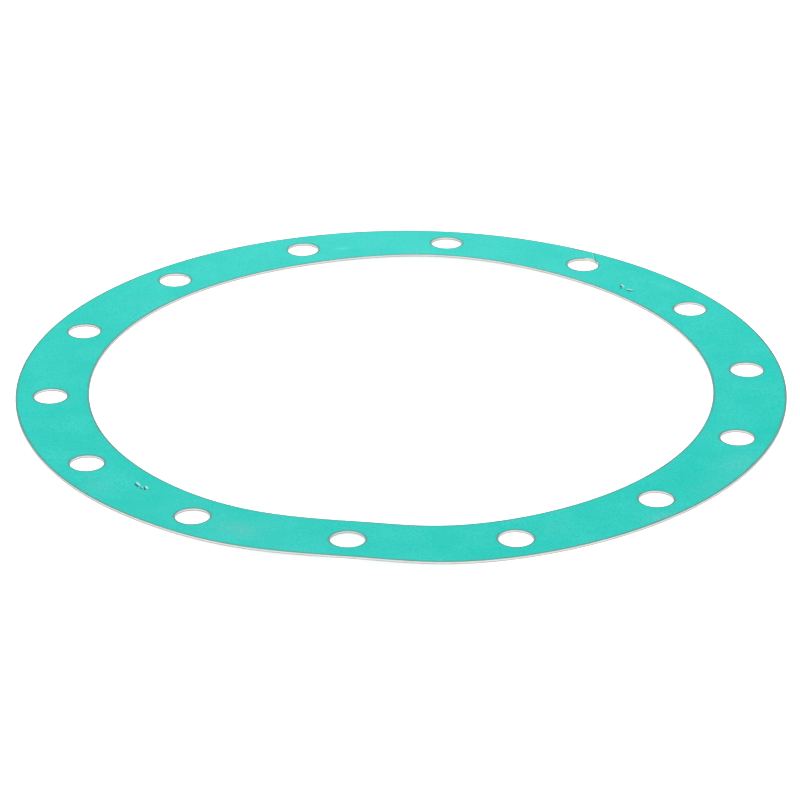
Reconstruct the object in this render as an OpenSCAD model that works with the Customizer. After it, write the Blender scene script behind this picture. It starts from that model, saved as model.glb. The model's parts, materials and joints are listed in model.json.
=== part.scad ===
// Flat ring gasket for a round filter cover, punched from one sheet of coated fibre jointing.
// The opening passes the filter, and a circle of bolt holes lies in the ring around it.
// The ring lies on its lower face at z = 0, centred on the Z axis, with one bolt hole on +X.

/* [Sheet] */
// Thickness of the sheet
sheet_t = 0.8; // [0.5:0.1:3]

/* [Opening] */
// Diameter of the opening in the middle of the ring
opening_d = 200; // [80:1:320]

/* [Bolt holes] */
// Nominal diameter of the cover bolts
bolt_d = 10; // [5:1:16]
// Amount that a hole is wider than its bolt
bolt_clearance = 0.5; // [0.2:0.1:2]
// Number of holes, evenly spaced on one circle
hole_count = 14; // [6:1:18]

/* [Sealing lands] */
// Width of sheet between the opening and the holes
inner_land = 7; // [3:0.5:20]
// Width of sheet between the holes and the outside edge
outer_land = 6; // [3:0.5:20]

/* [Hidden] */

hole_d = bolt_d + bolt_clearance;
bolt_circle_d = opening_d + 2 * inner_land + hole_d;
outside_d = bolt_circle_d + hole_d + 2 * outer_land;
hole_pitch_angle = 360 / hole_count;

// The punched outline: the disc, less the opening and the circle of holes
module ring_outline() {
    difference() {
        circle(d = outside_d, $fn = 180);
        circle(d = opening_d, $fn = 180);
        for (i = [0 : hole_count - 1])
            rotate(i * hole_pitch_angle)
                translate([bolt_circle_d / 2, 0])
                    circle(d = hole_d, $fn = 48);
    }
}

module gasket() {
    color("#3ED1C4")
        linear_extrude(sheet_t)
            ring_outline();
}

gasket();
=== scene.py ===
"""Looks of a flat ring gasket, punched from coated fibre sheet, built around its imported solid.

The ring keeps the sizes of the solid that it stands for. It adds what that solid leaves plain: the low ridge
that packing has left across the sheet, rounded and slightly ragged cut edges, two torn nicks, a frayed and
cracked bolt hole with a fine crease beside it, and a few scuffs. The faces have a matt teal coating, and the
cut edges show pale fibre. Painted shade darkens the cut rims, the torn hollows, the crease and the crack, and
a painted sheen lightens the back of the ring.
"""

import json
import logging
import math
from dataclasses import dataclass
from enum import Enum
from typing import Any

import bmesh
import bpy
import numpy as np
from mathutils import Matrix, Vector, noise

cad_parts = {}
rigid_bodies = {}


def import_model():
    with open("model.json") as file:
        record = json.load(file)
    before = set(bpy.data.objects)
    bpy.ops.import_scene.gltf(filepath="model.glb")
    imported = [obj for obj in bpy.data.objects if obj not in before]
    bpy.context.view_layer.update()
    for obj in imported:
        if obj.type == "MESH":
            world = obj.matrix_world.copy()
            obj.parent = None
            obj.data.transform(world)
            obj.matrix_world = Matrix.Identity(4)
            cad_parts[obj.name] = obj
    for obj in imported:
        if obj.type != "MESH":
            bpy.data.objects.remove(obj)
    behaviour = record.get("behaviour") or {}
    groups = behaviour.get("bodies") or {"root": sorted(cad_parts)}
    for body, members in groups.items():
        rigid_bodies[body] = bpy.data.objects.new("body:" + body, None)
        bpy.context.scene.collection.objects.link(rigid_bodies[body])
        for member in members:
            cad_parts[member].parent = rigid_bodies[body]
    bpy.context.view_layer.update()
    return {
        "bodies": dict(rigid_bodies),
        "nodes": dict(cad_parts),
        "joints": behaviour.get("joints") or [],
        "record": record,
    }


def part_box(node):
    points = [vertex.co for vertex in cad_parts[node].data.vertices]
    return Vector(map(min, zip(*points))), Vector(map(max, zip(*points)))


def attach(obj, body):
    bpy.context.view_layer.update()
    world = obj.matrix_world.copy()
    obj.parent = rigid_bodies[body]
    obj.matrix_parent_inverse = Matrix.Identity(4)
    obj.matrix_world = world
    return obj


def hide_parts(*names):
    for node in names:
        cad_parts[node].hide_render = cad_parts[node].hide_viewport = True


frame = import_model()

MM = 0.001
FULL_TURN = 2 * math.pi
FULL_TURN_DEG = 360.0
NOISE_MEAN = 0.5
MOSTLY = 0.5
WHITE = (1.0, 1.0, 1.0, 1.0)
LOG = logging.getLogger("gasket")
Socket = bpy.types.NodeSocket
Value = Socket | float | tuple[float, ...]
Colour = tuple[float, float, float, float]
Inputs = dict[str | int, Value]
Spot = tuple[np.ndarray, float]


class Trace(Enum):
    """Attributes of the ring's mesh, each from 0 to 1, that its finishes read."""

    # Bare fibre of the nicks and the fray, and a painted highlight on the crease's lip.
    BARE_AND_HIGHLIGHT = "bare_fibre_and_highlight"
    # Painted shade in the nicks' hollows, the crease's groove and the fray's crack.
    PAINTED_SHADE = "painted_shade"
    SCUFF = "scuffed"
    # Faded spots, and a broad painted sheen over the back of the ring.
    FADED_AND_SHEEN = "faded_and_sheen"
    HEIGHT = "sheet_height"


@dataclass(frozen=True)
class Span:
    """A smooth passage that gives low at its start and high at its end, and keeps them beyond."""

    start: float
    end: float
    low: float = 0.0
    high: float = 1.0


@dataclass(frozen=True)
class Rise:
    """A straight passage: a value times the gain, less the cut, held between 0 and 1."""

    gain: float
    cut: float = 0.0

    def of(self, values: np.ndarray) -> np.ndarray:
        """Returns what the passage makes of these values."""
        return np.clip(values * self.gain - self.cut, 0.0, 1.0)


@dataclass(frozen=True)
class NoiseBand:
    """A noise pattern: its cells in a metre, its finer octaves and how much each of those weighs."""

    scale: float
    detail: float
    roughness: float = 0.5


class Graph:
    """A node tree under construction, with a short call for each node that it uses often."""

    def __init__(self, tree: bpy.types.NodeTree) -> None:
        """Starts on the tree that receives the nodes."""
        self.tree = tree

    def sockets(self, way: str, kind: str, *names: str) -> None:
        """Gives the tree sockets of one kind, each with one of these names, as its INPUT or OUTPUT."""
        for name in names:
            self.tree.interface.new_socket(name, in_out=way, socket_type=kind)

    def wire(self, target: Socket, value: Value) -> None:
        """Links a socket to a target, or sets the target's own value.

        Args:
            target: the input socket.
            value: an output socket, or a plain value.
        """
        if isinstance(value, bpy.types.NodeSocket):
            self.tree.links.new(value, target)
        else:
            target.default_value = value

    def node(self, kind: str, inputs: Inputs | None = None, **settings: Any) -> bpy.types.Node:
        """Adds a node.

        Args:
            kind: the node's Blender type.
            inputs: what each input socket, by name or index, is linked to or set to.
            settings: the node's own properties.

        Returns:
            The node.
        """
        made = self.tree.nodes.new(kind)
        for name, setting in settings.items():
            setattr(made, name, setting)
        for name, value in (inputs or {}).items():
            self.wire(made.inputs[name], value)
        return made

    def out(self, kind: str, inputs: Inputs | None = None, **settings: Any) -> Socket:
        """Returns the first output of a new node."""
        return self.node(kind, inputs, **settings).outputs[0]

    def math(self, operation: str, *values: Value) -> Socket:
        """Returns the result of a Math node with these inputs, in order."""
        return self.out("ShaderNodeMath", dict(enumerate(values)), operation=operation)

    def add(self, first: Value, second: Value) -> Socket:
        """Returns the sum of two values."""
        return self.math("ADD", first, second)

    def sub(self, first: Value, second: Value) -> Socket:
        """Returns the first value less the second."""
        return self.math("SUBTRACT", first, second)

    def mul(self, first: Value, second: Value) -> Socket:
        """Returns the product of two values."""
        return self.math("MULTIPLY", first, second)

    def div(self, first: Value, second: Value) -> Socket:
        """Returns the first value divided by the second."""
        return self.math("DIVIDE", first, second)

    def mixed(self, first: Value, second: Value, share: float) -> Socket:
        """Returns the mean of two values, weighted by the share of the first."""
        return self.add(self.mul(first, share), self.mul(second, 1.0 - share))

    def vector(self, operation: str, *values: Value) -> Socket:
        """Returns the vector from a Vector Math node with these inputs, in order."""
        return self.out("ShaderNodeVectorMath", dict(enumerate(values)), operation=operation)

    def scaled(self, vector: Value, factor: Value) -> Socket:
        """Returns a vector times a factor."""
        inputs = {"Vector": vector, "Scale": factor}
        return self.out("ShaderNodeVectorMath", inputs, operation="SCALE")

    def length(self, vector: Value) -> Socket:
        """Returns the length of a vector."""
        return self.node("ShaderNodeVectorMath", {0: vector}, operation="LENGTH").outputs["Value"]

    def combine(self, x: Value, y: Value, z: Value) -> Socket:
        """Returns the vector with these components."""
        return self.out("ShaderNodeCombineXYZ", {0: x, 1: y, 2: z})

    def separate(self, vector: Value) -> tuple[Socket, Socket, Socket]:
        """Returns the three components of a vector."""
        return tuple(self.node("ShaderNodeSeparateXYZ", {0: vector}).outputs)

    def polar(self, radius: Value, angle: Value, height: Value) -> Socket:
        """Returns the place at a radius and an angle about the ring's axis, and at a height."""
        x, y = (self.mul(radius, self.math(operation, angle)) for operation in ("COSINE", "SINE"))
        return self.combine(x, y, height)

    def ramp(self, value: Value, span: Span) -> Socket:
        """Maps a value through a span.

        Args:
            value: what is mapped.
            span: the passage that it goes through.

        Returns:
            The mapped value.
        """
        inputs = {"Value": value, "From Min": span.start, "From Max": span.end}
        inputs |= {"To Min": span.low, "To Max": span.high}
        return self.out("ShaderNodeMapRange", inputs, interpolation_type="SMOOTHSTEP")

    def blend(self, factor: Value, first: Value, second: Value) -> Socket:
        """Returns the mix of two colours, by the share that the second has."""
        # Sockets 6 and 7 are the two colours of a Mix node, and its output 2 is their mix.
        return self.node("ShaderNodeMix", {0: factor, 6: first, 7: second}, data_type="RGBA").outputs[2]

    def noise(self, place: Value, band: NoiseBand) -> Socket:
        """Returns a noise pattern, read at a place."""
        inputs = {"Vector": place, "Scale": band.scale, "Detail": band.detail, "Roughness": band.roughness}
        return self.node("ShaderNodeTexNoise", inputs).outputs["Fac"]

    def stray(self, pattern: Value, amount: float) -> Socket:
        """Returns how far a noise pattern departs from its mean, times an amount."""
        return self.mul(self.sub(pattern, NOISE_MEAN), amount)

    def group(self, tree: bpy.types.NodeTree, place: Value) -> Any:
        """Places a shader group that is read at a place, and returns its outputs."""
        return self.node("ShaderNodeGroup", {"Vector": place}, node_tree=tree).outputs

    def traced(self, trace: Trace) -> Socket:
        """Returns one of the mesh's attributes."""
        return self.node("ShaderNodeAttribute", attribute_name=trace.value).outputs["Fac"]


@dataclass(frozen=True)
class RingSizes:
    """Sizes of the punched ring in metres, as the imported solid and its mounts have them."""

    outside_r: float
    opening_r: float
    bolt_circle_r: float
    hole_r: float
    hole_count: int
    sheet_t: float

    @classmethod
    def from_frame(cls, packed: dict[str, Any]) -> "RingSizes":
        """Reads the sizes from the frame.


        Returns:
            The ring's sizes.
        """
        dims = {mount["name"]: mount["dims"] for mount in packed["record"]["mounts"]}
        low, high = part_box("gasket")
        return cls(
            outside_r=(high[0] - low[0]) / 2,
            opening_r=dims["opening"]["r_mm"] * MM,
            bolt_circle_r=dims["bolt_holes"]["pcd_mm"] * MM / 2,
            hole_r=dims["bolt_holes"]["hole_r_mm"] * MM,
            hole_count=int(dims["bolt_holes"]["count"]),
            sheet_t=high[2] - low[2],
        )

    @property
    def pitch(self) -> float:
        """Angle between two neighbouring holes, in radians."""
        return FULL_TURN / self.hole_count

    def point(self, radius: float, pitches: float) -> np.ndarray:
        """Returns the x and y of a place, from its distance to the axis and its angle in hole pitches."""
        angle = pitches * self.pitch
        return radius * np.array([math.cos(angle), math.sin(angle)])


@dataclass(frozen=True)
class SetLobe:
    """A stretch of the ring that stands off the table, as packing has left it.

    The lift is greatest at one angle, in hole pitches from +X, and falls off to either side like a bell.
    """

    pitches: float
    fall_before: float
    fall_after: float
    inner_lift: float
    outer_lift: float


def shader_group(name: str, *outputs: str) -> tuple[Graph, Socket]:
    """Starts a shader group that reads a place and gives values.

    Args:
        name: the group's name.
        outputs: the names of its values.

    Returns:
        The group's graph, and its input Vector.
    """
    graph = Graph(bpy.data.node_groups.new(name, "ShaderNodeTree"))
    graph.sockets("INPUT", "NodeSocketVector", "Vector")
    graph.sockets("OUTPUT", "NodeSocketFloat", *outputs)
    return graph, graph.node("NodeGroupInput").outputs["Vector"]


@dataclass(frozen=True)
class FibreMottle:
    """Shader group of the sheet's own texture: cloudy patches, streaks along the sheet and a fine grain."""

    cloud: NoiseBand = NoiseBand(scale=55.0, detail=3.0, roughness=0.55)
    streak: NoiseBand = NoiseBand(scale=420.0, detail=4.0, roughness=0.6)
    grain: NoiseBand = NoiseBand(scale=1700.0, detail=2.0, roughness=0.6)
    streak_squeeze: tuple[float, float, float] = (0.35, 1.0, 1.0)

    def group(self) -> bpy.types.NodeTree:
        """Builds the group at its first use.

        Returns:
            The group, with the input Vector and the outputs Cloud, Streak and Grain.
        """
        name = "fibre_mottle"
        if name in bpy.data.node_groups:
            return bpy.data.node_groups[name]
        graph, place = shader_group(name, "Cloud", "Streak", "Grain")
        squeezed = graph.vector("MULTIPLY", place, self.streak_squeeze)
        values = {
            "Cloud": graph.noise(place, self.cloud),
            "Streak": graph.noise(squeezed, self.streak),
            "Grain": graph.noise(place, self.grain),
        }
        graph.node("NodeGroupOutput", values)
        return graph.tree


@dataclass(frozen=True)
class RimDistance:
    """Shader group of the distance from a point of the face to the nearest cut edge, in plan."""

    sizes: RingSizes

    def group(self) -> bpy.types.NodeTree:
        """Builds the group.

        Returns:
            The group, with the input Vector and the output Distance, in metres.
        """
        graph, place = shader_group("rim_distance", "Distance")
        x, y, _ = graph.separate(place)
        radius = graph.length(graph.combine(x, y, 0.0))
        half = self.sizes.pitch / 2
        angle = graph.math("WRAP", graph.math("ARCTAN2", y, x), half, -half)
        along = graph.sub(graph.mul(radius, graph.math("COSINE", angle)), self.sizes.bolt_circle_r)
        across = graph.mul(radius, graph.math("SINE", angle))
        from_hole = graph.sub(graph.length(graph.combine(along, across, 0.0)), self.sizes.hole_r)
        from_outside = graph.sub(self.sizes.outside_r, radius)
        from_opening = graph.sub(radius, self.sizes.opening_r)
        nearest = graph.math("MINIMUM", from_hole, graph.math("MINIMUM", from_outside, from_opening))
        graph.node("NodeGroupOutput", {"Distance": nearest})
        return graph.tree


def cleared(owner: bpy.types.Material | bpy.types.World) -> Graph:
    """Empties the node tree of a material or a world.

    Args:
        owner: the material or the world.

    Returns:
        The graph of its tree.
    """
    owner.use_nodes = True
    owner.node_tree.nodes.clear()
    return Graph(owner.node_tree)


@dataclass(frozen=True)
class MattSurface:
    """How a finish takes the light: its roughness over a pattern, its specular level and its bumps."""

    roughness: Span
    specular: float
    bump_strength: float
    bump_depth: float

    def end(self, graph: Graph, colour: Socket, pattern: Socket, relief: Socket) -> None:
        """Ends a material in its shader.

        Args:
            graph: the material's graph.
            colour: the base colour.
            pattern: what the roughness follows.
            relief: the height of the bumps.
        """
        inputs = {"Height": relief, "Strength": self.bump_strength, "Distance": self.bump_depth}
        bump = graph.node("ShaderNodeBump", inputs)
        inputs = {"Base Color": colour, "Roughness": graph.ramp(pattern, self.roughness)}
        inputs |= {"Specular IOR Level": self.specular, "Normal": bump.outputs[0]}
        shader = graph.node("ShaderNodeBsdfPrincipled", inputs)
        graph.node("ShaderNodeOutputMaterial", {"Surface": shader.outputs[0]})


@dataclass(frozen=True)
class CoatedFace:
    """Finish of both faces: a thin matt teal coating over pale fibre, with painted shade along the cut rims
    and in hollows.
    """

    sizes: RingSizes
    teal: Colour = (0.010, 0.648, 0.550, 1.0)
    light_teal: Colour = (0.038, 0.702, 0.612, 1.0)
    deep_teal: Colour = (0.002, 0.555, 0.465, 1.0)
    # Painted shade along the rolled cut rims.
    rim_shade: Colour = (0.120, 0.330, 0.305, 1.0)
    rubbed: Colour = (0.48, 0.36, 0.48, 1.0)
    # Lighter teal of the faded spots and of the painted sheen.
    faded_and_sheen: Colour = (0.20, 0.88, 0.83, 1.0)
    # Pale of bare fibre, also the colour of the painted highlight on the crease's lip.
    bare: Colour = (0.58, 0.90, 0.95, 1.0)
    # Dark teal of the painted shade in hollows, grooves and cracks.
    pit: Colour = (0.014, 0.205, 0.180, 1.0)
    cloud_share: float = 0.6
    grain_share: float = 0.5
    lightening: Span = Span(0.36, 0.66)
    specks: Span = Span(0.38, 0.70, low=0.0, high=0.70)
    rub_streaks: Span = Span(0.35, 0.70, low=0.55, high=1.45)
    rim_shade_line: Span = Span(0.95 * MM, 0.45 * MM)
    rim_shade_patches: Span = Span(0.3, 0.7, low=0.75, high=0.95)
    rim_shade_stray: float = 1.3 * MM
    surface: MattSurface = MattSurface(
        roughness=Span(0.3, 0.7, low=0.52, high=0.66),
        specular=0.05,
        bump_strength=0.35,
        bump_depth=0.05 * MM,
    )

    def material(self) -> bpy.types.Material:
        """Builds the finish.

        Returns:
            The material.
        """
        material = bpy.data.materials.new("coated_face")
        graph = cleared(material)
        place = graph.node("ShaderNodeTexCoord").outputs["Object"]
        fibre = graph.group(FibreMottle().group(), place)
        cloud, streak, grain = (fibre[name] for name in ("Cloud", "Streak", "Grain"))
        rim = graph.group(RimDistance(self.sizes).group(), place)["Distance"]

        mottle = graph.mixed(cloud, streak, self.cloud_share)
        colour = graph.blend(graph.ramp(mottle, self.lightening), self.teal, self.light_teal)
        rub = graph.mul(graph.traced(Trace.SCUFF), graph.ramp(streak, self.rub_streaks))
        # Painted shade along the cut rims, made ragged by the streaks and patchy by the clouds.
        rim_shade_mask = graph.ramp(graph.add(rim, graph.stray(streak, self.rim_shade_stray)), self.rim_shade_line)
        rim_shade_mask = graph.mul(rim_shade_mask, graph.ramp(cloud, self.rim_shade_patches))
        # Covers, in order: random dark specks, faded spots and the painted sheen, rubbed scuffs, painted
        # shade along the cut rims, bare fibre and the crease's painted highlight, and painted shade in
        # hollows.
        covers = (
            (graph.ramp(grain, self.specks), self.deep_teal),
            (graph.traced(Trace.FADED_AND_SHEEN), self.faded_and_sheen),
            (rub, self.rubbed),
            (rim_shade_mask, self.rim_shade),
            (graph.traced(Trace.BARE_AND_HIGHLIGHT), self.bare),
            (graph.traced(Trace.PAINTED_SHADE), self.pit),
        )
        for cover, tint in covers:
            colour = graph.blend(cover, colour, tint)
        self.surface.end(graph, colour, streak, graph.mixed(grain, streak, self.grain_share))
        return material


@dataclass(frozen=True)
class CutEdge:
    """Finish of the punched edges: the sheet's pale fibre, in layers, darker and warmer towards the bottom of
    the edge.
    """

    pale: Colour = (0.96, 0.955, 0.93, 1.0)
    shaded: Colour = (0.84, 0.84, 0.80, 1.0)
    # Darker, warmer colour of the bottom of the edge, also used for the painted shade in the crack.
    low_band_and_shade: Colour = (0.58, 0.49, 0.47, 1.0)
    streak_share: float = 0.6
    layer_squash: float = 6.0
    layers: Span = Span(0.35, 0.62)
    low_band_span: Span = Span(0.46, 0.22)
    low_band_stray: float = 0.5
    surface: MattSurface = MattSurface(
        roughness=Span(0.3, 0.7, low=0.75, high=0.9),
        specular=0.2,
        bump_strength=0.6,
        bump_depth=0.08 * MM,
    )

    def material(self) -> bpy.types.Material:
        """Builds the finish.

        Returns:
            The material.
        """
        material = bpy.data.materials.new("cut_edge")
        graph = cleared(material)
        place = graph.node("ShaderNodeTexCoord").outputs["Object"]
        layered = graph.vector("MULTIPLY", place, (1.0, 1.0, self.layer_squash))
        fibre = graph.group(FibreMottle().group(), layered)
        mottle = graph.mixed(fibre["Streak"], fibre["Grain"], self.streak_share)
        colour = graph.blend(graph.ramp(mottle, self.layers), self.shaded, self.pale)
        # Darker and warmer towards the bottom of the edge, along a wavy line.
        height = graph.add(graph.traced(Trace.HEIGHT), graph.stray(mottle, self.low_band_stray))
        low_band_and_shade = graph.mul(graph.ramp(height, self.low_band_span), graph.sub(1.0, graph.traced(Trace.BARE_AND_HIGHLIGHT)))
        # Painted shade in the crack takes the same colour.
        low_band_and_shade = graph.math("MAXIMUM", low_band_and_shade, graph.traced(Trace.PAINTED_SHADE))
        self.surface.end(graph, graph.blend(low_band_and_shade, colour, self.low_band_and_shade), mottle, mottle)
        return material


@dataclass
class WornMesh:
    """The ring's vertices while wear is put on them: where they were, where they go and how they are marked.

    The heights are shares of the sheet's thickness. Top is 1 on the upper face, and 0 on the walls and below.
    """

    sizes: RingSizes
    places: np.ndarray
    heights: np.ndarray
    top: np.ndarray
    moved: np.ndarray
    marks: dict[Trace, np.ndarray]

    @classmethod
    def read(cls, sizes: RingSizes, mesh: bpy.types.Mesh, upward: Rise) -> "WornMesh":
        """Reads the ring before its wear.

        Args:
            sizes: the ring's sizes.
            mesh: the ring's mesh.
            upward: what makes top of the upward part of a normal.

        Returns:
            The vertices, not yet moved or marked.
        """
        count = len(mesh.vertices)
        places, normals = np.empty(count * 3), np.empty(count * 3)
        mesh.vertices.foreach_get("co", places)
        mesh.vertices.foreach_get("normal", normals)
        places = places.reshape(-1, 3)
        heights = np.empty(count)
        mesh.attributes[Trace.HEIGHT.value].data.foreach_get("value", heights)
        marks = {trace: np.zeros(count) for trace in Trace if trace is not Trace.HEIGHT}
        return cls(sizes, places, heights, upward.of(normals.reshape(-1, 3)[:, 2]), places.copy(), marks)

    def from_point(self, radius: float, pitches: float) -> tuple[np.ndarray, np.ndarray]:
        """Measures the vertices from a point on the ring.

        Args:
            radius: the point's distance from the ring's axis.
            pitches: the point's angle, in hole pitches.

        Returns:
            The distances in millimetres along the ring, counter-clockwise, and outwards across it.
        """
        angle = pitches * self.sizes.pitch
        offset = self.places[:, :2] - self.sizes.point(radius, pitches)
        along = -offset[:, 0] * math.sin(angle) + offset[:, 1] * math.cos(angle)
        across = offset[:, 0] * math.cos(angle) + offset[:, 1] * math.sin(angle)
        return along / MM, across / MM

    def mark(self, trace: Trace, near: np.ndarray | slice, amounts: np.ndarray) -> None:
        """Raises an attribute of some vertices to these amounts, where they are greater."""
        self.marks[trace][near] = np.maximum(self.marks[trace][near], amounts)

    def write(self, mesh: bpy.types.Mesh) -> None:
        """Moves the mesh's vertices and stores their attributes.

        Args:
            mesh: the ring's mesh.
        """
        mesh.vertices.foreach_set("co", self.moved.ravel())
        for trace, amounts in self.marks.items():
            layer = mesh.attributes.new(trace.value, "FLOAT", "POINT")
            layer.data.foreach_set("value", np.clip(amounts, 0.0, 1.0))
        mesh.update()


def wrapped(angles: np.ndarray, turn: float) -> np.ndarray:
    """Returns angles brought to within half a turn of 0."""
    return (angles + turn / 2) % turn - turn / 2


@dataclass(frozen=True)
class Fleck:
    """One torn fleck of a nick, in millimetres along and across the ring from the nick's middle."""

    along: float
    across: float
    length: float
    width: float
    heading_deg: float
    lift: float
    pit: float


@dataclass(frozen=True)
class Nick:
    """Flecks torn up from the coating, and the hollow that each one leaves beside it, with painted shade in
    each hollow.

    The reach is in millimetres. A fleck's outline strays by shares of its length and width, and its hollow's
    offset and half width are in the fleck's own widths.
    """

    radius: float
    pitches: float
    hollow_side: float
    flecks: tuple[Fleck, ...]
    reach: float = 4.2
    rough_scale: float = 2.6
    rough_fade: float = 0.5
    rough_step: float = 2.3
    rough_octaves: int = 3
    stray_along: float = 0.30
    stray_across: float = 0.45
    crumple: float = 0.4
    hollow_offset: float = 1.6
    hollow_width: float = 0.8
    bared: Rise = Rise(3.0, 1.15)
    # How the painted shade follows each hollow.
    hollow_shade: Rise = Rise(3.2, 1.1)

    def spots(self, sizes: RingSizes) -> list[Spot]:
        """Returns where the upper face needs fine cuts: a place and a reach in metres."""
        return [(sizes.point(self.radius, self.pitches), self.reach * MM)]

    def wear(self, worn: WornMesh) -> None:
        """Lifts the flecks, sinks their hollows and paints shade into the hollows.

        Args:
            worn: the ring's vertices, changed in place.
        """
        along, across = worn.from_point(self.radius, self.pitches)
        near = np.flatnonzero((np.hypot(along, across) < self.reach) & (worn.top > MOSTLY))
        scale = self.rough_scale
        for fleck in self.flecks:
            cosine = math.cos(math.radians(fleck.heading_deg))
            sine = math.sin(math.radians(fleck.heading_deg))
            u = (along[near] - fleck.along) * cosine + (across[near] - fleck.across) * sine
            v = (across[near] - fleck.across) * cosine - (along[near] - fleck.along) * sine
            grid = [Vector((a * scale, b * scale, fleck.along)) for a, b in zip(u, v)]
            octaves = (self.rough_fade, self.rough_step, self.rough_octaves)
            rough = np.array([noise.fractal(spot, *octaves) for spot in grid])
            v = v + self.stray_across * fleck.width * rough
            u = u + self.stray_along * fleck.length * rough
            tongue = np.exp(-((u / fleck.length) ** 4) - (v / fleck.width) ** 2)
            away = v - self.hollow_side * fleck.width * self.hollow_offset
            hollow = np.exp(-((u / fleck.length) ** 2) - (away / (self.hollow_width * fleck.width)) ** 2)
            lift = fleck.lift * tongue * (1.0 + self.crumple * rough)
            worn.moved[near, 2] += (lift - fleck.pit * hollow) * MM
            worn.mark(Trace.BARE_AND_HIGHLIGHT, near, self.bared.of(tongue))
            # Painted shade in the hollow.
            worn.mark(Trace.PAINTED_SHADE, near, self.hollow_shade.of(hollow))


@dataclass(frozen=True)
class Crease:
    """A fine crease from a bolt hole's rim to the outside edge, with a lip on one side.

    Painted shade darkens its groove, most at the hole, and a painted highlight lightens its lip. Its width,
    depth, lip and fine reach are in millimetres, and the lip's offset is in widths.
    """

    start_radius: float
    start_pitches: float
    end_radius: float
    end_pitches: float
    width: float
    depth: float
    lip: float
    lip_offset: float = 2.0
    taper: Rise = Rise(8.0, -0.4)
    fade: Rise = Rise(-0.7, -1.0)
    # Strength of the painted shade in the groove.
    groove_shade: float = 0.80
    # Share of the painted highlight on the lip.
    pale: float = 0.32
    fine_reach: float = 1.6
    fine_steps: int = 6

    def ends(self, sizes: RingSizes) -> tuple[np.ndarray, np.ndarray]:
        """Returns the places where the crease starts and ends."""
        start = sizes.point(self.start_radius, self.start_pitches)
        return start, sizes.point(self.end_radius, self.end_pitches)

    def spots(self, sizes: RingSizes) -> list[Spot]:
        """Finds where the upper face needs fine cuts.

        Args:
            sizes: the ring's sizes.

        Returns:
            Places along the crease, each with its reach in metres.
        """
        start, end = self.ends(sizes)
        shares = np.linspace(0.0, 1.0, self.fine_steps)
        return [(start + (end - start) * share, self.fine_reach * MM) for share in shares]

    def wear(self, worn: WornMesh) -> None:
        """Presses the crease into the upper face, paints shade into its groove and paints a highlight onto
        its lip.

        Args:
            worn: the ring's vertices, changed in place.
        """
        start, end = self.ends(worn.sizes)
        run = end - start
        length = float(np.hypot(*run))
        run = run / length
        offset = worn.places[:, :2] - start
        along = (offset @ run) / length
        aside = (offset[:, 1] * run[0] - offset[:, 0] * run[1]) / MM
        shown = self.taper.of(np.minimum(along, 1.0 - along)) * worn.top
        groove = np.exp(-((aside / self.width) ** 2)) * shown
        lip = np.exp(-(((aside - self.lip_offset * self.width) / self.width) ** 2)) * shown
        worn.moved[:, 2] += (self.lip * lip - self.depth * groove) * MM
        # Painted shade in the groove, fading away from the hole, and a painted highlight on the lip.
        worn.mark(Trace.PAINTED_SHADE, slice(None), self.groove_shade * groove * self.fade.of(along))
        worn.mark(Trace.BARE_AND_HIGHLIGHT, slice(None), self.pale * lip)


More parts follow.
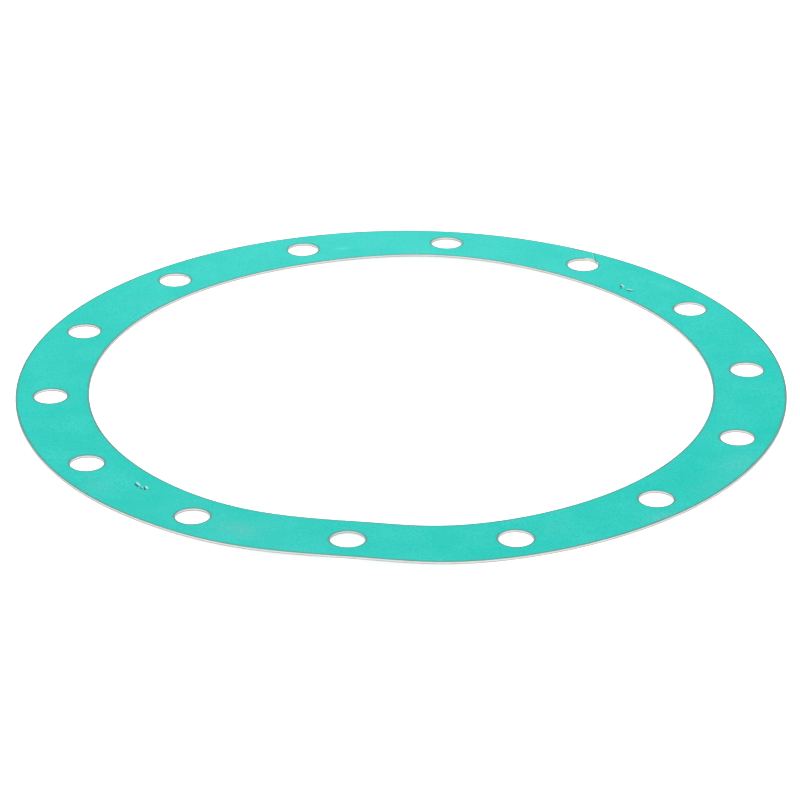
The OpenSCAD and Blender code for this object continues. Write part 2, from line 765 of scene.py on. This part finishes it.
@dataclass(frozen=True)
class Fray:
    """Fibre that stands up along a stretch of a bolt hole's rim, parted where the rim is cracked.

    Painted shade darkens the crack. Bearings are in degrees about the hole's centre. The width, lift and
    overhang are in millimetres, and the fine reach and the crack's reach are in widths.
    """

    hole: int
    middle_deg: float
    half_deg: float
    width: float
    lift: float
    overhang: float
    crack_deg: float
    crack_half_deg: float
    # Strength of the painted shade in the crack.
    crack_shade: float = 0.8
    crack_reach: float = 0.5
    ragged: float = 0.5
    ragged_scale: float = 0.17
    ragged_seed: tuple[float, float] = (3.7, 1.3)
    upper: Rise = Rise(2.0, 0.7)
    bared: Rise = Rise(1.6)
    fine_reach: float = 1.5
    fine_steps: int = 15

    def spots(self, sizes: RingSizes) -> list[Spot]:
        """Finds where the upper face needs fine cuts.

        Args:
            sizes: the ring's sizes.

        Returns:
            Places along the frayed rim, each with its reach in metres.
        """
        centre = sizes.point(sizes.bolt_circle_r, self.hole)
        bearings = np.radians(np.linspace(-1.0, 1.0, self.fine_steps) * self.half_deg + self.middle_deg)
        rims = centre + sizes.hole_r * np.column_stack([np.cos(bearings), np.sin(bearings)])
        return [(rim, self.fine_reach * self.width * MM) for rim in rims]

    def wear(self, worn: WornMesh) -> None:
        """Stands the fibre up and paints shade into the crack.

        Args:
            worn: the ring's vertices, changed in place.
        """
        offset = worn.places[:, :2] - worn.sizes.point(worn.sizes.bolt_circle_r, self.hole)
        distance = np.hypot(offset[:, 0], offset[:, 1])
        bearing = np.degrees(np.arctan2(offset[:, 1], offset[:, 0]))
        off = wrapped(bearing - self.middle_deg, FULL_TURN_DEG)
        beyond = (distance - worn.sizes.hole_r) / MM
        near = np.flatnonzero((np.abs(off) < self.half_deg) & (beyond < self.width))
        fresh = np.clip(1.0 - beyond[near] / self.width, 0.0, 1.0) ** 2
        fresh *= np.cos(np.radians(off[near] / self.half_deg * FULL_TURN_DEG / 4)) ** 0.5
        crack = np.exp(-(((bearing[near] - self.crack_deg) / self.crack_half_deg) ** 2))
        fresh *= 1.0 - crack
        draws = [Vector((angle * self.ragged_scale, *self.ragged_seed)) for angle in off[near]]
        ragged = np.array([noise.noise(draw) for draw in draws])
        stand = fresh * (1.0 + self.ragged * ragged) * self.upper.of(worn.heights[near])
        inwards = -offset[near] / distance[near, None]
        worn.moved[near, 2] += self.lift * stand * MM
        worn.moved[near, :2] += inwards * (self.overhang * stand * MM)[:, None]
        worn.mark(Trace.BARE_AND_HIGHLIGHT, near, self.bared.of(fresh))
        rim = np.clip(1.0 - beyond[near] / (self.crack_reach * self.width), 0.0, 1.0)
        # Painted shade in the crack, close to the rim.
        worn.mark(Trace.PAINTED_SHADE, near, self.crack_shade * crack * rim)


@dataclass(frozen=True)
class CoatPatch:
    """A rubbed or faded patch of the coating, or a broad painted sheen, in millimetres along and across the
    ring.
    """

    radius: float
    pitches: float
    along: float
    across: float
    strength: float
    trace: Trace = Trace.SCUFF

    def wear(self, worn: WornMesh) -> None:
        """Spreads the patch over the upper face, strongest in its middle.

        Args:
            worn: the ring's vertices, changed in place.
        """
        turn = np.arctan2(worn.places[:, 1], worn.places[:, 0]) - self.pitches * worn.sizes.pitch
        along = wrapped(turn, FULL_TURN) * self.radius / MM
        across = (np.hypot(worn.places[:, 0], worn.places[:, 1]) - self.radius) / MM
        patch = np.exp(-((along / self.along) ** 2) - (across / self.across) ** 2)
        worn.marks[self.trace] += patch * self.strength * worn.top


@dataclass
class GasketSheet:
    """The gasket itself: one sheet with its opening, bolt holes, packing set and wear, with painted shade and
    a painted sheen.

    The rim's reach and the wall's margin are in corner radii.
    """

    sizes: RingSizes
    lobes: tuple[SetLobe, ...]
    tears: tuple[Nick | Crease | Fray, ...]
    scuffs_and_sheen: tuple[CoatPatch, ...]
    name: str = "gasket_sheet"
    corner_r: float = 0.10 * MM
    rim_reach: float = 3.0
    ragged: float = 0.03 * MM
    ragged_band: NoiseBand = NoiseBand(scale=900.0, detail=2.0)
    wall_margin: float = 0.9
    around: int = 96
    rings: int = 13
    wall_rows: int = 3
    fine_cuts: int = 13
    most_sides: int = 4
    weld: float = 0.002 * MM
    crisp_deg: float = 35.0
    upward: Rise = Rise(2.0)

    def build(self) -> bpy.types.Object:
        """Makes the ring as a plain mesh, with its wear.

        Returns:
            The ring's object, at the origin.
        """
        carrier = bpy.data.meshes.new(self.name)
        ring = bpy.data.objects.new(self.name, carrier)
        bpy.context.scene.collection.objects.link(ring)
        modifier = ring.modifiers.new("punched_ring", "NODES")
        tree = self.ring_tree()
        modifier.node_group = tree
        values = {
            "Outside Radius": self.sizes.outside_r,
            "Opening Radius": self.sizes.opening_r,
            "Bolt Circle Radius": self.sizes.bolt_circle_r,
            "Hole Radius": self.sizes.hole_r,
            "Hole Count": self.sizes.hole_count,
            "Sheet Thickness": self.sizes.sheet_t,
            "Corner Radius": self.corner_r,
            "Face": CoatedFace(self.sizes).material(),
            "Cut Edge": CutEdge().material(),
        }
        for socket in tree.interface.items_tree:
            if socket.name in values:
                modifier[socket.identifier] = values[socket.name]
        depsgraph = bpy.context.evaluated_depsgraph_get()
        mesh = bpy.data.meshes.new_from_object(
            ring.evaluated_get(depsgraph), preserve_all_data_layers=True, depsgraph=depsgraph
        )
        ring.modifiers.remove(modifier)
        ring.data = mesh
        bpy.data.meshes.remove(carrier)
        mesh.name = self.name
        self.refine(mesh)
        worn = WornMesh.read(self.sizes, mesh, self.upward)
        for mark in (*self.tears, *self.scuffs_and_sheen):
            mark.wear(worn)
        worn.write(mesh)
        mesh.shade_smooth()
        mesh.set_sharp_from_angle(angle=math.radians(self.crisp_deg))
        return ring

    def dress(self, ring: bpy.types.Object) -> None:
        """Puts the ring on its body, in place of the plain solid.

        Args:
            ring: the ring's object.
        """
        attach(ring, "root")
        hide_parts("gasket")

    def ring_tree(self) -> bpy.types.NodeTree:
        """Builds the Geometry Nodes tree that punches the ring.

        Returns:
            The tree, with the ring's sizes and its two finishes as inputs.
        """
        graph = Graph(bpy.data.node_groups.new("punched_ring", "GeometryNodeTree"))
        radii = ("Outside Radius", "Opening Radius", "Bolt Circle Radius", "Hole Radius", "Corner Radius")
        graph.sockets("INPUT", "NodeSocketFloat", *radii, "Sheet Thickness")
        graph.sockets("INPUT", "NodeSocketInt", "Hole Count")
        graph.sockets("INPUT", "NodeSocketMaterial", "Face", "Cut Edge")
        graph.sockets("OUTPUT", "NodeSocketGeometry", "Geometry")
        given = graph.node("NodeGroupInput").outputs
        upper = self.upper_face(graph, given)
        solid = self.closed_section(graph, given, upper)
        solid = self.ragged_walls(graph, given, solid)
        solid = self.packing_set(graph, given, solid)
        solid = graph.out("GeometryNodeRealizeInstances", {0: solid})
        faced = graph.out("GeometryNodeSetMaterial", {"Geometry": solid, "Material": given["Face"]})
        cut = graph.out("GeometryNodeInputNamedAttribute", {"Name": "cut"}, data_type="BOOLEAN")
        inputs = {"Geometry": faced, "Selection": cut, "Material": given["Cut Edge"]}
        edged = graph.out("GeometryNodeSetMaterial", inputs)
        graph.node("NodeGroupOutput", {"Geometry": edged})
        return graph.tree

    def upper_face(self, graph: Graph, given: Any) -> Socket:
        """Lays a mesh around one hole and repeats it around the ring.

        Args:
            graph: the ring's tree.
            given: the tree's inputs.

        Returns:
            The upper face, short of its rounded rims.
        """
        side = 1.0
        counts = {"Size X": side, "Size Y": side, "Vertices X": self.around + 1, "Vertices Y": self.rings}
        patch = graph.node("GeometryNodeMeshGrid", counts).outputs["Mesh"]
        u, v, _ = graph.separate(graph.out("GeometryNodeInputPosition"))
        turn = graph.mul(graph.add(u, side / 2), FULL_TURN)
        share = graph.add(v, side / 2)
        cosine = graph.math("COSINE", turn)
        sine = graph.math("SINE", turn)
        largest = graph.math("MAXIMUM", graph.math("ABSOLUTE", cosine), graph.math("ABSOLUTE", sine))
        along = graph.div(cosine, largest)
        across = graph.div(sine, largest)

        corner = given["Corner Radius"]
        circle_r = given["Bolt Circle Radius"]
        outward = graph.sub(graph.sub(given["Outside Radius"], corner), circle_r)
        inward = graph.sub(circle_r, graph.add(given["Opening Radius"], corner))
        reach = graph.add(
            graph.mul(graph.math("MAXIMUM", across, 0.0), outward),
            graph.mul(graph.math("MINIMUM", across, 0.0), inward),
        )
        pitch = graph.div(FULL_TURN, given["Hole Count"])
        angle = graph.mul(along, graph.div(pitch, 2.0))
        height = given["Sheet Thickness"]
        border = graph.polar(graph.add(circle_r, reach), angle, height)
        hole_r = graph.add(given["Hole Radius"], corner)
        rim = graph.combine(graph.add(circle_r, graph.mul(hole_r, sine)), graph.mul(hole_r, cosine), height)
        place = graph.vector("ADD", rim, graph.scaled(graph.vector("SUBTRACT", border, rim), share))
        patch = graph.out("GeometryNodeSetPosition", {"Geometry": patch, "Position": place})

        points = graph.out("GeometryNodePoints", {"Count": given["Hole Count"]})
        index = graph.out("GeometryNodeInputIndex")
        turned = graph.combine(0.0, 0.0, graph.mul(index, pitch))
        rotation = graph.out("FunctionNodeEulerToRotation", {0: turned})
        inputs = {"Points": points, "Instance": patch, "Rotation": rotation}
        copies = graph.out("GeometryNodeInstanceOnPoints", inputs)
        joined = graph.out("GeometryNodeRealizeInstances", {0: copies})
        return graph.out("GeometryNodeMergeByDistance", {"Geometry": joined, "Distance": self.weld})

    def rim_direction(self, graph: Graph, given: Any) -> Socket:
        """Finds the way out of the sheet at a cut edge.

        Args:
            graph: the ring's tree.
            given: the tree's inputs.

        Returns:
            A level unit vector: into a hole on its rim, and along the radius on the other two edges.
        """
        place = graph.out("GeometryNodeInputPosition")
        flat = graph.vector("MULTIPLY", place, (1.0, 1.0, 0.0))
        x, y, _ = graph.separate(flat)
        pitch = graph.div(FULL_TURN, given["Hole Count"])
        nearest = graph.mul(graph.math("ROUND", graph.div(graph.math("ARCTAN2", y, x), pitch)), pitch)
        circle_r = given["Bolt Circle Radius"]
        to_centre = graph.vector("SUBTRACT", graph.polar(circle_r, nearest, 0.0), flat)
        close = graph.add(given["Hole Radius"], graph.mul(given["Corner Radius"], self.rim_reach))
        on_hole = graph.math("LESS_THAN", graph.length(to_centre), close)
        side = graph.math("SIGN", graph.sub(graph.length(flat), circle_r))
        radial = graph.scaled(graph.vector("NORMALIZE", flat), side)
        inputs = {"Switch": on_hole, "False": radial, "True": graph.vector("NORMALIZE", to_centre)}
        return graph.out("GeometryNodeSwitch", inputs, input_type="VECTOR")

    def closed_section(self, graph: Graph, given: Any, upper: Socket) -> Socket:
        """Draws the cut edges down from the upper face and closes them with the lower one.

        Args:
            graph: the ring's tree.
            given: the tree's inputs.
            upper: the upper face.

        Returns:
            The closed ring.
        """
        corner = given["Corner Radius"]
        outwards = self.rim_direction(graph, given)
        # An eighth of a turn around a rounded corner lies this far out, and the drop down, in corner radii.
        inset = math.sin(FULL_TURN / 8)
        drop = 1.0 - inset
        straight = graph.sub(given["Sheet Thickness"], graph.mul(corner, 2.0))
        row = graph.div(straight, -float(self.wall_rows))
        steps = [(graph.mul(corner, inset), graph.mul(corner, -drop), False)]
        steps += [(graph.mul(corner, drop), graph.mul(corner, -inset), True)]
        steps += [(0.0, row, True)] * self.wall_rows
        steps += [(graph.mul(corner, -drop), graph.mul(corner, -inset), True)]
        steps += [(graph.mul(corner, -inset), graph.mul(corner, -drop), False)]

        # Sockets 2 and 3 of a Compare node take its whole numbers. An edge of the sheet has one face.
        faces = graph.out("GeometryNodeInputMeshEdgeNeighbors")
        edges = graph.out("FunctionNodeCompare", {2: faces, 3: 1}, data_type="INT", operation="EQUAL")
        walls = upper
        for out, down, is_cut in steps:
            offset = graph.vector("ADD", graph.scaled(outwards, out), graph.combine(0.0, 0.0, down))
            inputs = {"Mesh": walls, "Selection": edges, "Offset": offset}
            drawn = graph.node("GeometryNodeExtrudeMesh", inputs, mode="EDGES").outputs
            edges = drawn["Top"]
            walls = drawn["Mesh"]
            if is_cut:
                inputs = {"Geometry": walls, "Selection": drawn["Side"], "Name": "cut", "Value": True}
                kind = "GeometryNodeStoreNamedAttribute"
                walls = graph.out(kind, inputs, data_type="BOOLEAN", domain="FACE")
        fall = graph.combine(0.0, 0.0, graph.mul(given["Sheet Thickness"], -1.0))
        lower = graph.out("GeometryNodeSetPosition", {"Geometry": upper, "Offset": fall})
        lower = graph.out("GeometryNodeFlipFaces", {0: lower})
        join = graph.node("GeometryNodeJoinGeometry")
        for part in (walls, lower):
            graph.wire(join.inputs[0], part)
        inputs = {"Geometry": join.outputs[0], "Distance": self.weld}
        closed = graph.out("GeometryNodeMergeByDistance", inputs)
        _, _, z = graph.separate(graph.out("GeometryNodeInputPosition"))
        height = graph.div(z, given["Sheet Thickness"])
        inputs = {"Geometry": closed, "Name": Trace.HEIGHT.value, "Value": height}
        return graph.out("GeometryNodeStoreNamedAttribute", inputs, data_type="FLOAT", domain="POINT")

    def ragged_walls(self, graph: Graph, given: Any, solid: Socket) -> Socket:
        """Roughens the straight part of the cut edges, as a punch leaves fibre.

        Args:
            graph: the ring's tree.
            given: the tree's inputs.
            solid: the closed ring.

        Returns:
            The ring with ragged edges.
        """
        place = graph.out("GeometryNodeInputPosition")
        _, _, z = graph.separate(place)
        margin = graph.mul(given["Corner Radius"], self.wall_margin)
        above = graph.math("GREATER_THAN", z, margin)
        below = graph.math("LESS_THAN", z, graph.sub(given["Sheet Thickness"], margin))
        amount = graph.stray(graph.noise(place, self.ragged_band), 2 * self.ragged)
        offset = graph.scaled(self.rim_direction(graph, given), amount)
        inputs = {"Geometry": solid, "Selection": graph.mul(above, below), "Offset": offset}
        return graph.out("GeometryNodeSetPosition", inputs)

    def packing_set(self, graph: Graph, given: Any, solid: Socket) -> Socket:
        """Lifts the stretches of the ring that packing has left proud of the table.

        Args:
            graph: the ring's tree.
            given: the tree's inputs.
            solid: the flat ring.

        Returns:
            The ring as it lies.
        """
        x, y, _ = graph.separate(graph.out("GeometryNodeInputPosition"))
        angle = graph.math("ARCTAN2", y, x)
        radius = graph.length(graph.combine(x, y, 0.0))
        opening_r = given["Opening Radius"]
        share = graph.div(graph.sub(radius, opening_r), graph.sub(given["Outside Radius"], opening_r))
        total: Value = 0.0
        for lobe in self.lobes:
            middle = lobe.pitches * self.sizes.pitch
            off = graph.math("WRAP", graph.sub(angle, middle), math.pi, -math.pi)
            after = graph.div(graph.math("MAXIMUM", off, 0.0), lobe.fall_after * self.sizes.pitch)
            before = graph.div(graph.math("MINIMUM", off, 0.0), lobe.fall_before * self.sizes.pitch)
            reach = graph.add(graph.mul(after, after), graph.mul(before, before))
            bell = graph.math("EXPONENT", graph.mul(reach, -1.0))
            lift = graph.add(graph.mul(share, lobe.outer_lift - lobe.inner_lift), lobe.inner_lift)
            total = graph.add(total, graph.mul(bell, lift))
        offset = graph.combine(0.0, 0.0, total)
        return graph.out("GeometryNodeSetPosition", {"Geometry": solid, "Offset": offset})

    def refine(self, mesh: bpy.types.Mesh) -> None:
        """Cuts the upper face finely where it is torn, and splits the many-sided faces that this leaves.

        Args:
            mesh: the ring's mesh.
        """
        spots = [spot for tear in self.tears for spot in tear.spots(self.sizes)]
        worked = bmesh.new()
        worked.from_mesh(mesh)
        chosen = set()
        for face in worked.faces:
            middle = face.calc_center_median()
            if face.normal.z < MOSTLY:
                continue
            for spot, reach in spots:
                if math.hypot(middle.x - spot[0], middle.y - spot[1]) < reach:
                    chosen.update(face.edges)
                    break
        bmesh.ops.subdivide_edges(worked, edges=list(chosen), cuts=self.fine_cuts, use_grid_fill=True)
        many_sided = [face for face in worked.faces if len(face.verts) > self.most_sides]
        fans = bmesh.ops.poke(worked, faces=many_sided)
        height = worked.verts.layers.float[Trace.HEIGHT.value]
        for hub in fans["verts"]:
            around = [edge.other_vert(hub)[height] for edge in hub.link_edges]
            hub[height] = (min(around) + max(around)) / 2
        bmesh.ops.recalc_face_normals(worked, faces=worked.faces)
        worked.to_mesh(mesh)
        worked.free()


@dataclass(frozen=True)
class SoftLamp:
    """A wide round lamp that faces the ring."""

    name: str
    place: tuple[float, float, float]
    diameter: float
    power: float

    def build(self) -> None:
        """Hangs the lamp."""
        light = bpy.data.lights.new(self.name, "AREA")
        light.shape = "DISK"
        light.size = self.diameter
        light.energy = self.power
        lamp = bpy.data.objects.new(self.name, light)
        lamp.location = self.place
        lamp.rotation_euler = (-Vector(self.place)).to_track_quat("-Z", "Y").to_euler()
        bpy.context.scene.collection.objects.link(lamp)


@dataclass(frozen=True)
class Studio:
    """A white table top under even, soft light, and the camera that looks down across it."""

    sizes: RingSizes
    lamps: tuple[SoftLamp, ...] = (
        SoftLamp("back_lamp", place=(0.00, 1.10, 1.00), diameter=1.2, power=12.1),
        SoftLamp("front_lamp", place=(-0.10, -1.60, 0.80), diameter=1.2, power=9.3),
    )
    floor_r: float = 6.0
    floor_sides: int = 64
    floor_gap: float = 0.02 * MM
    floor_albedo: float = 0.88
    floor_fill: float = 0.80
    world_strength: float = 0.52
    azimuth_deg: float = -4.689
    elevation_deg: float = 25.808
    roll_deg: float = -0.154
    distance: float = 1.2024
    target: tuple[float, float] = (-0.00037, -0.01275)
    lens: float = 169.95
    sensor: float = 36.0
    nearest: float = 0.01
    farthest: float = 50.0

    def seen_directly(self, graph: Graph) -> Socket:
        """Tells the rays that show a surface from those that only light others.

        Args:
            graph: the graph of the table's material or of the world.

        Returns:
            1 for a camera, glossy or transmitted ray, and 0 for the rest.
        """
        path = graph.node("ShaderNodeLightPath").outputs
        shown = graph.math("MAXIMUM", path["Is Camera Ray"], path["Is Glossy Ray"])
        return graph.math("MAXIMUM", shown, path["Is Transmission Ray"])

    def floor(self) -> None:
        """Lays the table top."""
        mesh = bpy.data.meshes.new("table_top")
        shape = bmesh.new()
        level = Matrix.Translation((0.0, 0.0, -self.floor_gap))
        sides = self.floor_sides
        bmesh.ops.create_circle(shape, cap_ends=True, segments=sides, radius=self.floor_r, matrix=level)
        shape.to_mesh(mesh)
        shape.free()
        table = bpy.data.objects.new("table_top", mesh)
        bpy.context.scene.collection.objects.link(table)
        material = bpy.data.materials.new("white_table")
        graph = cleared(material)
        grey = (self.floor_albedo, self.floor_albedo, self.floor_albedo, 1.0)
        matt = graph.node("ShaderNodeBsdfDiffuse", {"Color": grey})
        fill = graph.mul(self.seen_directly(graph), self.floor_fill)
        glow = graph.node("ShaderNodeEmission", {"Color": WHITE, "Strength": fill})
        both = graph.node("ShaderNodeAddShader", {0: matt.outputs[0], 1: glow.outputs[0]})
        graph.node("ShaderNodeOutputMaterial", {"Surface": both.outputs[0]})
        mesh.materials.append(material)

    def world(self) -> None:
        """Surrounds the table with plain white light."""
        world = bpy.data.worlds.new("white_tent")
        graph = cleared(world)
        shown = self.seen_directly(graph)
        strength = graph.add(graph.mul(shown, 1.0 - self.world_strength), self.world_strength)
        tent = graph.node("ShaderNodeBackground", {"Color": WHITE, "Strength": strength})
        graph.node("ShaderNodeOutputWorld", {"Surface": tent.outputs[0]})
        bpy.context.scene.world = world

    def camera(self) -> None:
        """Sets the camera at the photograph's angle."""
        data = bpy.data.cameras.new("camera")
        data.sensor_width = self.sensor
        data.lens = self.lens
        data.clip_start = self.nearest
        data.clip_end = self.farthest
        camera = bpy.data.objects.new("camera", data)
        turn = Matrix.Rotation(math.radians(self.azimuth_deg), 4, "Z")
        tilt = Matrix.Rotation(math.radians(90.0 - self.elevation_deg), 4, "X")
        roll = Matrix.Rotation(math.radians(self.roll_deg), 4, "Z")
        aim = turn @ Vector((*self.target, self.sizes.sheet_t))
        facing = turn @ tilt @ roll
        back = Matrix.Translation((0.0, 0.0, self.distance))
        camera.matrix_world = Matrix.Translation(aim) @ facing @ back
        bpy.context.scene.collection.objects.link(camera)
        bpy.context.scene.camera = camera

    def build(self) -> None:
        """Sets up the table, the light, the camera and the plain view transform."""
        self.floor()
        self.world()
        for lamp in self.lamps:
            lamp.build()
        self.camera()
        bpy.context.scene.view_settings.view_transform = "Standard"


def gasket(sizes: RingSizes) -> GasketSheet:
    """Describes the gasket as the photograph shows it, with its set and its wear.

    Args:
        sizes: the ring's sizes.

    Returns:
        The gasket, ready to build.
    """
    lobes = (
        SetLobe(pitches=-4.0, fall_before=0.68, fall_after=0.47, inner_lift=1.82 * MM, outer_lift=2.42 * MM),
        SetLobe(pitches=-5.16, fall_before=0.50, fall_after=0.50, inner_lift=0.0, outer_lift=0.55 * MM),
        SetLobe(pitches=3.0, fall_before=0.97, fall_after=0.78, inner_lift=1.38 * MM, outer_lift=0.25 * MM),
    )
    left_flecks = (
        Fleck(along=-2.0, across=-0.25, length=1.45, width=0.42, heading_deg=11.0, lift=0.35, pit=0.35),
        Fleck(along=1.4, across=-0.70, length=1.15, width=0.42, heading_deg=22.0, lift=0.30, pit=0.35),
        Fleck(along=0.6, across=0.15, length=0.50, width=0.36, heading_deg=0.0, lift=0.25, pit=0.20),
    )
    right_flecks = (
        Fleck(along=2.2, across=1.00, length=1.35, width=0.42, heading_deg=22.0, lift=0.35, pit=0.35),
        Fleck(along=1.6, across=0.05, length=0.55, width=0.36, heading_deg=0.0, lift=0.25, pit=0.20),
        Fleck(along=-1.4, across=0.60, length=1.30, width=0.42, heading_deg=-25.0, lift=0.30, pit=0.35),
    )
    crease = Crease(
        start_radius=116.7 * MM,
        start_pitches=1.950,
        end_radius=123.2 * MM,
        end_pitches=2.040,
        width=0.20,
        depth=0.16,
        lip=0.05,
    )
    fray = Fray(
        hole=2,
        middle_deg=40.0,
        half_deg=38.0,
        width=0.8,
        lift=0.50,
        overhang=0.2,
        crack_deg=21.0,
        crack_half_deg=4.0,
    )
    tears = (
        Nick(radius=107.6 * MM, pitches=-5.516, hollow_side=1.0, flecks=left_flecks),
        Nick(radius=105.35 * MM, pitches=1.517, hollow_side=-1.0, flecks=right_flecks),
        crease,
        fray,
    )
    scuffs_and_sheen = (
        # A broad painted sheen over the back of the ring.
        CoatPatch(radius=111.0 * MM, pitches=3.4, along=95.0, across=30.0, strength=0.11, trace=Trace.FADED_AND_SHEEN),
        CoatPatch(radius=112.0 * MM, pitches=-4.75, along=32.0, across=14.0, strength=0.02),
        CoatPatch(radius=113.4 * MM, pitches=-4.65, along=7.0, across=4.0, strength=0.09),
        CoatPatch(radius=117.2 * MM, pitches=-5.71, along=6.0, across=4.0, strength=0.05),
        CoatPatch(radius=109.5 * MM, pitches=-2.754, along=3.0, across=3.0, strength=0.04),
        CoatPatch(radius=121.5 * MM, pitches=-2.15, along=5.0, across=2.0, strength=0.12),
        CoatPatch(radius=118.4 * MM, pitches=-1.314, along=9.0, across=5.0, strength=0.06),
        CoatPatch(radius=119.0 * MM, pitches=-1.655, along=7.0, across=4.0, strength=0.05),
        CoatPatch(radius=109.2 * MM, pitches=3.732, along=2.2, across=0.9, strength=0.35, trace=Trace.FADED_AND_SHEEN),
        CoatPatch(radius=117.1 * MM, pitches=1.35, along=6.0, across=3.0, strength=0.12, trace=Trace.FADED_AND_SHEEN),
    )
    return GasketSheet(sizes, lobes, tears, scuffs_and_sheen)


def main() -> None:
    """Builds the studio and the gasket, and reports each piece."""
    logging.basicConfig(level=logging.INFO, format="%(name)s: %(message)s")
    sizes = RingSizes.from_frame(frame)
    Studio(sizes).build()
    LOG.info("table, lamps and camera are set")
    sheet = gasket(sizes)
    ring = sheet.build()
    sheet.dress(ring)
    LOG.info("%s has %d faces", ring.name, len(ring.data.polygons))


if __name__ == "__main__":
    main()
